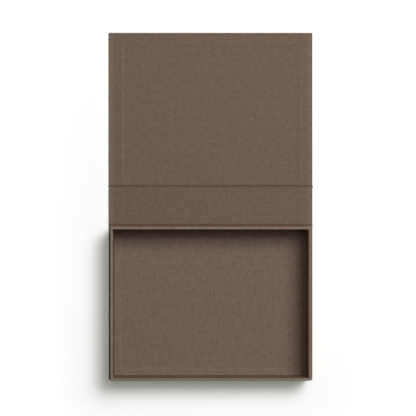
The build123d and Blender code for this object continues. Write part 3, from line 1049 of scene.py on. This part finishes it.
# %% Hang the pieces on their bodies
def wear(piece, node, body, material=None):
    """The piece stands for a CAD node, rides on its body and has its finish."""
    if material is not None:
        piece.data.materials.clear()
        piece.data.materials.append(material)
    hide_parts(node)
    if body is not None:
        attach(piece, body)


wear(lid_lining, "lid_lining", "lid", lining_linen)
wear(lid_cover, "lid_cover_cloth", "lid", cover_linen)
wear(spine_lining, "spine_lining", "spine", spine_linen)
wear(spine_cover, "spine_cover_cloth", "spine", cover_linen)
wear(base_cover, "base_cover_cloth", "tray", cover_linen)
wear(base_lining, "base_lining", "tray", lining_linen)
wear(tray_walls, "tray_wall_cloth", "tray", tray_linen)
wear(tray_floor, "tray_floor_lining", "tray", floor_linen)
for (groove, layer), strip in joints.items():
    wear(strip, f"{groove}_joint_{layer}", None)
    near, far = GROOVES[groove][:2]
    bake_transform(strip)

# %% [markdown]
# The flat places of every sheet's net are read again, though no size is worked out from them. The two
# covers lose a triangle at each corner, which is cut off before the turn-ins are folded, so that they meet
# in a mitre. The strips in the grooves are parts of the spine's two sheets.


def cut_sheet(piece):
    """Reads the flat places of a sheet's net into an array, and does nothing more with them."""
    flat = np.empty(2 * len(piece.data.loops))
    piece.data.uv_layers["threads"].data.foreach_get("uv", flat)


cut_sheet(lid_cover)
cut_sheet(base_cover)
cut_sheet(spine_cover)
cut_sheet(lid_lining)
cut_sheet(spine_lining)
cut_sheet(base_lining)
cut_sheet(tray_floor)
cut_sheet(tray_walls)

# %% [markdown]
# The ground is white paper and the light is soft. Its shadows fall to the left and to the front and die
# out within a wall's height, so the lamps stand high, behind and to the right, and are large. A dim
# sky fills the shadows. The white of the ground comes from the floor's own material, which shows the
# camera a lit white near the box and a plain white further off, so that no extra light reaches the box.

# %% Lamps
LAMP_HEIGHT = 3.4

# Each lamp's place along X and Y and its width, in metres, and its watts
LAMPS = {"large soft lamp": (1.7, 1.711, 2.07, 132.7), "second soft lamp": (0.792, 0.947, 2.142, 60.7)}
for label, (x_place, y_place, width, watts) in LAMPS.items():
    lamp = bpy.data.lights.new(label, "AREA")
    lamp.shape = "SQUARE"
    lamp.size = width
    lamp.energy = watts
    placed(label, lamp).location = (x_place, y_place, LAMP_HEIGHT)
print("lamps:", [light.name for light in bpy.data.lights])

# %% Floor and sky
SKY = 0.07
SKY_TINT = (1.0, 0.8, 0.68, 1.0)
SHADOW_LIFT = 0.135
SHADOW_TINT = (1.0, 1.07, 0.95, 1.0)
FADE_START = 0.018
FADE_WIDTH = 0.066
BOX_HALF_X = max(abs(cad_box[0][0]), abs(cad_box[1][0]))
BOX_HALF_Y = max(abs(cad_box[0][1]), abs(cad_box[1][1]))
FLOOR_HALF = 6
FLOOR_DROP = 0.0001


def shown_rays(tree):
    """1 for rays that show the background: from the camera, off a gloss or through glass."""
    kinds = ("Is Camera Ray", "Is Glossy Ray", "Is Transmission Ray")
    path = [tree.node("ShaderNodeLightPath", output=kind) for kind in kinds]
    return (path[0] + path[1] + path[2]).clipped(0.0, 1.0)


paper = bpy.data.materials.new("white ground")
tree = emptied_tree(paper)
place = tree.node("ShaderNodeTexCoord", output="Object")
x, y = (tree.node("ShaderNodeSeparateXYZ", {0: place}, output=axis) for axis in (0, 1))
beyond_x = (abs(x) - BOX_HALF_X).clipped(0.0, 10.0)
beyond_y = (abs(y) - BOX_HALF_Y).clipped(0.0, 10.0)
far_off = ((beyond_x * beyond_x + beyond_y * beyond_y) ** 0.5 - FADE_START) * (1 / FADE_WIDTH)
lit = tree.node("ShaderNodeBsdfDiffuse", {"Color": (0.9, 0.913, 0.92, 1)})
lift = tree.node("ShaderNodeEmission", {"Color": SHADOW_TINT, "Strength": SHADOW_LIFT})
near_white = tree.node("ShaderNodeAddShader", {0: lit, 1: lift})
plain_white = tree.node("ShaderNodeEmission", {"Color": (1, 1, 1, 1), "Strength": 1.0})
seen = tree.node("ShaderNodeMixShader", {0: far_off.clipped(0.0, 1.0), 1: near_white, 2: plain_white})
bounced = tree.node("ShaderNodeBsdfDiffuse", {"Color": (0.8, 0.8, 0.8, 1)})
ground = tree.node("ShaderNodeMixShader", {0: shown_rays(tree), 1: bounced, 2: seen})
tree.node("ShaderNodeOutputMaterial", {"Surface": ground})

floor_mesh = bpy.data.meshes.new("floor")
floor_signs = ((-1, -1), (1, -1), (1, 1), (-1, 1))
floor_corners = [(a * FLOOR_HALF, b * FLOOR_HALF, -FLOOR_DROP) for a, b in floor_signs]
floor_mesh.from_pydata(floor_corners, [], [(0, 1, 2, 3)])
floor_mesh.materials.append(paper)
floor = placed("floor", floor_mesh)

sky = bpy.data.worlds.new("dim sky")
tree = emptied_tree(sky)
dim = tree.node("ShaderNodeBackground", {"Color": SKY_TINT, "Strength": SKY})
white = tree.node("ShaderNodeBackground", {"Color": (1, 1, 1, 1), "Strength": 1.0})
both = tree.node("ShaderNodeMixShader", {0: shown_rays(tree), 1: dim, 2: white})
tree.node("ShaderNodeOutputWorld", {"Surface": both})
bpy.context.scene.world = sky
print("sky strength", SKY)
